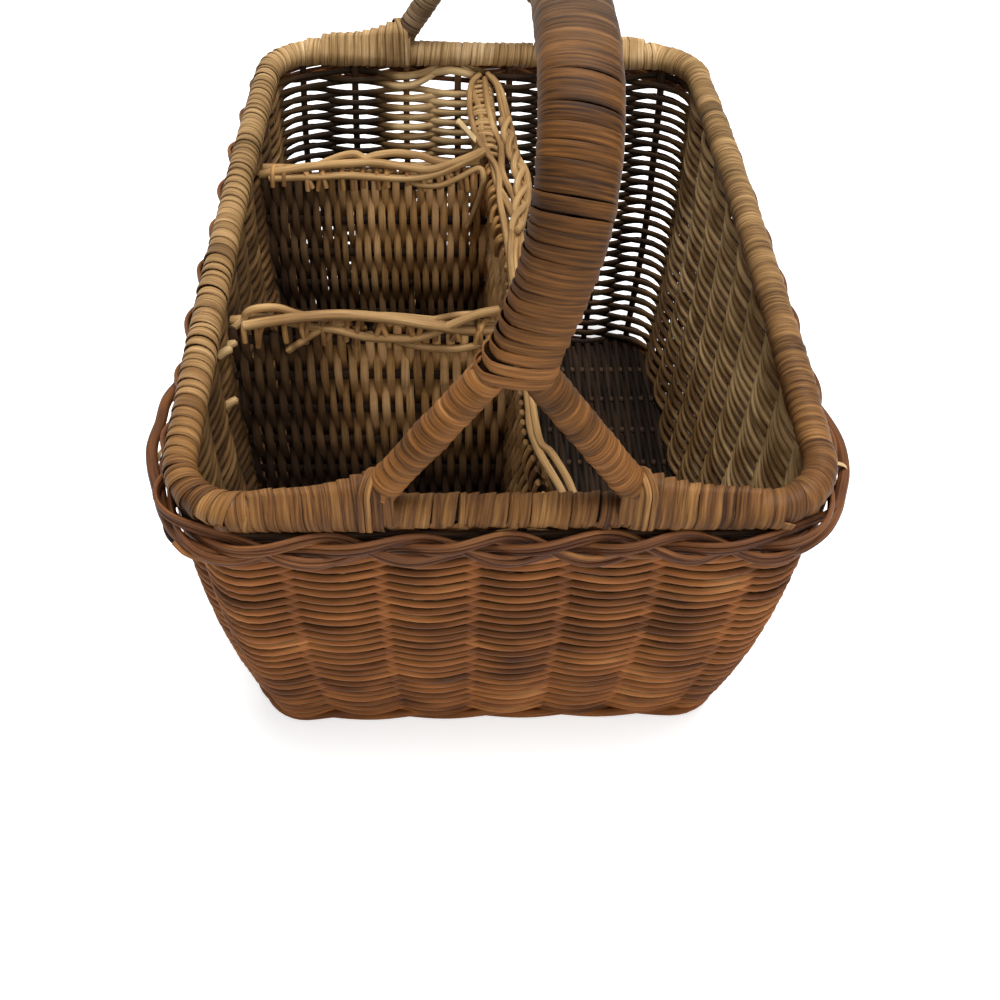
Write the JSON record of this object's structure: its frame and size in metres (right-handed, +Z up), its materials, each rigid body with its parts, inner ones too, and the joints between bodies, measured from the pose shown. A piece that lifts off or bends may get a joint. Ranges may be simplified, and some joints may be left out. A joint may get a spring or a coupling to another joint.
{
  "type": "utensil caddy basket",
  "caption": "Rectangular woven cane caddy with divided cells, a wrapped rim over a plaited border, and an arched wrapped handle on splayed legs.",
  "frame": {"origin": "on the table, under the middle of the caddy", "axes": "+Z up, +Y to the back along the handle, +X to the right; a short side faces -Y and the three small cells are on the -X side"},
  "size_m": [0.161, 0.222, 0.2133],
  "materials": {
    "weave": "matte",
    "floor": "matte",
    "border": "satin",
    "binding": "satin",
    "rod": "matte",
    "wrap": "satin",
    "pale": "matte"
  },
  "bodies": {
    "root": {"woven_wall": "weave", "base_mat": "floor", "rim_hoop": "rod", "rim_binding": "binding", "border_strand_1": "border", "border_strand_2": "border", "border_strand_3": "border", "border_tie_left": "pale", "border_tie_right": "pale", "centre_divider": "weave", "centre_top_rod_1": "pale", "centre_top_rod_2": "pale", "centre_top_rod_3": "pale", "front_cross_divider": "weave", "front_cross_top_rod_1": "pale", "front_cross_top_rod_2": "pale", "front_cross_top_rod_3": "pale", "back_cross_divider": "weave", "back_cross_top_rod_1": "pale", "back_cross_top_rod_2": "pale", "back_cross_top_rod_3": "pale", "handle_rod_left": "rod", "handle_rod_right": "rod", "grip_wrap": "wrap", "leg_wrap_front_left": "wrap", "foot_lashing_front_left": "wrap", "leg_wrap_front_right": "wrap", "foot_lashing_front_right": "wrap", "leg_wrap_back_left": "wrap", "foot_lashing_back_left": "wrap", "leg_wrap_back_right": "wrap", "foot_lashing_back_right": "wrap"}
  },
  "joints": []
}
